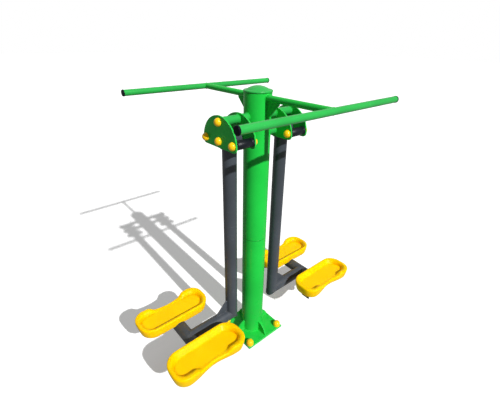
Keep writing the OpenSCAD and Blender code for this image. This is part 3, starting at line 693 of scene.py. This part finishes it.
def makePedal(v, side, end):
    bm = bmesh.new()
    # Each vertex keeps its share of painted crease shade
    hollowLayer = bm.verts.layers.float.new("hollow")
    rings = pedalRings(v)
    ring = [bm.verts.new() for point in rings[0][0]]
    first = [bm.edges.new(pair) for pair in zip(ring, ring[1:] + ring[:1])]
    for step, (points, heights, hollows) in enumerate(rings):
        if step:
            ring = liftRing(bm, ring)
        for vert, point, z, hollow in zip(ring, points, heights, hollows):
            vert.co = Vector((side * (v["crossAt"] + point.x), end * (v["inboard"] + point.y),
                              v["skirtHeight"] + z)) * mm
            vert[hollowLayer] = hollow
    bmesh.ops.contextual_create(bm, geom=first)
    bmesh.ops.contextual_create(bm, geom=ringEdges(bm, ring))
    body, place = "arm_" + sideNames[side], sideNames[side] + "_" + endNames[end]
    piece = settle(bm, "foot_pedal_" + place, body, yellowMoulding, ["pedal_" + place])
    cutNotch(piece, v, side, end)


for side in sides:
    for end in sides:
        makePedal(pedal, side, end)
print("pedals made")


# Weld beads along the joints of tubes and plates

weld = {"ripple": 0.16, "pitch": 3.4, "step": 0.9, "fewest": 4, "turnSteps": 72, "pipeSteps": 60,
        "barSteps": 48, "sideSteps": 2}
beads = {"post": 3.0, "rib": 1.8, "support": 2.0, "bar": 1.6, "gusset": 1.5, "carrier": 2.2, "spacer": 1.8,
         "hub": 2.4, "mitre": 2.0, "cross": 2.2, "elbow": 1.7}
geometry = {
    "post": 57.0, "bar": 12.5, "barHeight": 1258.0, "reach": 364.0, "carrier": 17.0, "pivot": 1110.0,
    "top": 1183.0, "innerFace": 96.0, "gapInner": 102.0, "gapOuter": 188.0, "plateLift": 0.3, "armAt": 145.0,
    "arm": 30.0, "hub": 34.0, "foot": 190.0, "crossAt": 397.0, "plateTop": 10.0, "ribFace": 3.0,
    "ribHeight": 72.0, "ribReach": 55.0, "ribStart": 1.0, "ribEnd": 6.0, "ribTopEnd": 2.0,
    "gussetFace": 2.5, "gussetOut": 64.0, "gussetDown": 66.0, "gussetEnd": 2.0, "gussetLift": 0.5,
    "elbowFace": 3.0, "elbowLeg": 66.0, "elbowStart": 2.0, "elbowEnd": 3.0,
}


def resample(points, step, closed):
    line = points + points[:1] if closed else points
    lengths = [0.0]
    for a, b in zip(line, line[1:]):
        lengths.append(lengths[-1] + (b - a).length)
    count = max(weld["fewest"], int(lengths[-1] / step))
    out, k = [], 0
    for i in range(count + (0 if closed else 1)):
        target = lengths[-1] * i / count
        while k < len(lengths) - 2 and lengths[k + 1] < target:
            k += 1
        out.append(line[k].lerp(line[k + 1], (target - lengths[k]) / (lengths[k + 1] - lengths[k])))
    return out


def addBead(whole, kind, points, closed=True):
    # A rippled bead of weld along a line of points in mm
    path = resample([Vector(p) * mm for p in points], weld["step"] * mm, closed)
    curve = bpy.data.curves.new("bead", "CURVE")
    curve.dimensions = "3D"
    curve.bevel_depth, curve.bevel_resolution, curve.use_fill_caps = beads[kind] * mm, weld["sideSteps"], True
    spline = curve.splines.new("POLY")
    spline.points.add(len(path) - 1)
    spline.use_cyclic_u = closed
    for i, (point, place) in enumerate(zip(spline.points, path)):
        point.co = (*place, 1)
        point.radius = 1 + weld["ripple"] * math.sin(math.tau * i * weld["step"] / weld["pitch"])
    holder = bpy.data.objects.new("bead", curve)
    bpy.context.scene.collection.objects.link(holder)
    bpy.context.view_layer.update()
    mesh = bpy.data.meshes.new_from_object(holder.evaluated_get(bpy.context.evaluated_depsgraph_get()))
    whole.from_mesh(mesh)
    bpy.data.objects.remove(holder)
    bpy.data.curves.remove(curve)
    bpy.data.meshes.remove(mesh)


def roundPath(place, count):
    turns = [math.tau * i / count for i in range(count)]
    return [place(math.cos(t), math.sin(t)) for t in turns]


def settleWelds(whole, name, body, material):
    bmesh.ops.remove_doubles(whole, verts=whole.verts[:], dist=edgeValues["beadGap"])
    whole.loops.layers.float.new("edgeWearSheenShade")
    settle(whole, name, body, material, (), edgeValues["weldTurn"])


def ribWelds(whole, g):
    # The foot and the back of each rib, on both faces
    post, base = g["post"], g["plateTop"]
    for turn in range(4):
        c, s = math.cos(turn * math.pi / 2), math.sin(turn * math.pi / 2)
        for face in (-g["ribFace"], g["ribFace"]):
            lines = (((post + g["ribStart"], base), (post + g["ribReach"] - g["ribEnd"], base)),
                     ((post, base), (post, g["ribHeight"] - g["ribTopEnd"])))
            for line in lines:
                addBead(whole, "rib", [(r * c - face * s, r * s + face * c, z) for r, z in line], False)


def barWelds(whole, g, end):
    # A support tube on the post and on its bar, and the gusset under it
    post, bar, height = g["post"], g["bar"], g["barHeight"]
    addBead(whole, "support", roundPath(lambda c, s: (
        bar * c, end * math.sqrt(post ** 2 - (bar * c) ** 2), height + bar * s), weld["barSteps"]))
    addBead(whole, "bar", roundPath(lambda c, s: (
        bar * c, end * (g["reach"] - bar * abs(c)), height + bar * s), weld["barSteps"]))
    under = height - bar
    above = under + g["gussetLift"]
    for face in (-g["gussetFace"], g["gussetFace"]):
        start = (face, end * post, under)
        addBead(whole, "gusset", [start, (face, end * post, under - g["gussetDown"] + g["gussetEnd"])], False)
        tip = (face, end * (post + g["gussetOut"] - g["gussetEnd"]), above)
        addBead(whole, "gusset", [(face, end * post, above), tip], False)


def bracketWelds(whole, g, side):
    # The carrier tubes on the post and the inner plate, and the top spacer between the plates
    post, pipe, steps = g["post"], g["carrier"], weld["pipeSteps"]
    for height in (g["pivot"], g["top"]):
        addBead(whole, "carrier", roundPath(lambda c, s: (
            side * math.sqrt(post ** 2 - (pipe * c) ** 2), pipe * c, height + pipe * s), steps))
        addBead(whole, "carrier", roundPath(lambda c, s: (
            side * (g["innerFace"] - g["plateLift"]), pipe * c, height + pipe * s), steps))
    for x in (g["gapInner"] + g["plateLift"], g["gapOuter"] - g["plateLift"]):
        addBead(whole, "spacer", roundPath(lambda c, s: (side * x, pipe * c, g["top"] + pipe * s), steps))


def frameWelds(g):
    whole = bmesh.new()
    foot = roundPath(lambda c, s: (g["post"] * c, g["post"] * s, g["plateTop"]), weld["turnSteps"])
    addBead(whole, "post", foot)
    ribWelds(whole, g)
    for end in sides:
        barWelds(whole, g, end)
    for side in sides:
        bracketWelds(whole, g, side)
    settleWelds(whole, "frame_welds", "frame", greenCoat)


def armWelds(g, side):
    whole = bmesh.new()
    x0, r, foot, steps = side * g["armAt"], g["arm"], g["foot"], weld["turnSteps"]
    addBead(whole, "hub", roundPath(lambda c, s: (
        x0 + r * c, r * s, g["pivot"] - math.sqrt(g["hub"] ** 2 - (r * s) ** 2)), steps))
    addBead(whole, "mitre", roundPath(lambda c, s: (x0 + side * r * c, r * s, foot + r * c), steps))
    addBead(whole, "cross", roundPath(lambda c, s: (
        side * (g["crossAt"] - r * abs(c)), r * c, foot + r * s), steps))
    start, stop = r + g["elbowStart"], r + g["elbowLeg"] - g["elbowEnd"]
    for face in (-g["elbowFace"], g["elbowFace"]):
        addBead(whole, "elbow", [(x0 + side * r, face, foot + z) for z in (start, stop)], False)
        addBead(whole, "elbow", [(x0 + side * x, face, foot + r) for x in (start, stop)], False)
    name = sideNames[side]
    settleWelds(whole, "arm_welds_" + name, "arm_" + name, darkCoat)


frameWelds(geometry)
for side in sides:
    armWelds(geometry, side)
print("welds made")


# Floor, light and camera

stageValues = {"floorSize": 60.0, "floorRoughness": 0.9, "floorBounce": 0.2, "floorGlow": 0.2,
               "worldLight": 0.13, "glossShare": 0.35}
lamps = {
    "key": {"strength": 4.2, "angle": 1.0, "elevation": 38.0, "azimuth": -91.0},
    "fill": {"strength": 0.6, "angle": 90.0, "elevation": 32.0, "azimuth": 72.0},
}


def seenRays(tree, glossShare):
    path = tree.nodes.new("ShaderNodeLightPath")
    gloss = times(tree, path.outputs["Is Glossy Ray"], glossShare)
    seen = compute(tree, "MAXIMUM", path.outputs["Is Camera Ray"], gloss)
    return compute(tree, "MAXIMUM", seen, path.outputs["Is Transmission Ray"])


def makeFloor(values):
    bm = bmesh.new()
    bmesh.ops.create_grid(bm, x_segments=1, y_segments=1, size=values["floorSize"] / 2)
    mesh = bpy.data.meshes.new("floor")
    bm.to_mesh(mesh)
    bm.free()
    floor = bpy.data.objects.new("floor", mesh)
    bpy.context.scene.collection.objects.link(floor)
    material = bpy.data.materials.new("paleFloor")
    material.use_nodes = True
    tree = material.node_tree
    shader = tree.nodes["Principled BSDF"]
    shader.inputs["Roughness"].default_value = values["floorRoughness"]
    shader.inputs["Specular IOR Level"].default_value = 0.0
    shader.inputs["Emission Color"].default_value = (1, 1, 1, 1)
    # White where the camera looks, but a weak bounce on the object
    seen = seenRays(tree, values["glossShare"])
    tree.links.new(compute(tree, "MAXIMUM", seen, values["floorBounce"]), shader.inputs["Base Color"])
    tree.links.new(times(tree, seen, values["floorGlow"]), shader.inputs["Emission Strength"])
    mesh.materials.append(material)


def makeWorld(values):
    world = bpy.data.worlds.new("studio")
    bpy.context.scene.world = world
    world.use_nodes = True
    tree = world.node_tree
    background = tree.nodes["Background"]
    background.inputs["Color"].default_value = (1, 1, 1, 1)
    strength = compute(tree, "MAXIMUM", seenRays(tree, values["glossShare"]), values["worldLight"])
    tree.links.new(strength, background.inputs["Strength"])


def makeLamp(name, values):
    light = bpy.data.lights.new(name, "SUN")
    light.energy, light.angle = values["strength"], math.radians(values["angle"])
    lamp = bpy.data.objects.new(name, light)
    azimuth, elevation = math.radians(values["azimuth"]), math.radians(values["elevation"])
    level = math.cos(elevation)
    towards = Vector((math.cos(azimuth) * level, math.sin(azimuth) * level, math.sin(elevation)))
    lamp.rotation_mode = "QUATERNION"
    lamp.rotation_quaternion = towards.to_track_quat("Z", "Y")
    bpy.context.scene.collection.objects.link(lamp)


cameraValues = {"place": (-0.8966, -0.9886, 1.4661), "yaw": -41.231, "pitch": -27.553, "roll": 1.104,
                "lens": 23.30, "sensor": 36.0, "shift": (-0.00015, -0.00603), "clip": (0.05, 200.0)}


def makeCamera(values):
    yaw, pitch, roll = (math.radians(values[k]) for k in ("yaw", "pitch", "roll"))
    forward = Vector((-math.sin(yaw) * math.cos(pitch), math.cos(yaw) * math.cos(pitch), math.sin(pitch)))
    right = forward.cross(Vector((0, 0, 1))).normalized()
    up = right.cross(forward)
    across = right * math.cos(roll) + up * math.sin(roll)
    above = up * math.cos(roll) - right * math.sin(roll)
    data = bpy.data.cameras.new("camera")
    data.sensor_width, data.lens = values["sensor"], values["lens"]
    data.shift_x, data.shift_y = values["shift"]
    data.clip_start, data.clip_end = values["clip"]
    camera = bpy.data.objects.new("camera", data)
    basis = Matrix((across, above, -forward)).transposed().to_4x4()
    camera.matrix_world = Matrix.Translation(values["place"]) @ basis
    bpy.context.scene.collection.objects.link(camera)
    bpy.context.scene.camera = camera


makeFloor(stageValues)
makeWorld(stageValues)
for lampName, lampValues in lamps.items():
    makeLamp(lampName, lampValues)
makeCamera(cameraValues)
bpy.context.scene.view_settings.view_transform = "Standard"

print("scene ready")
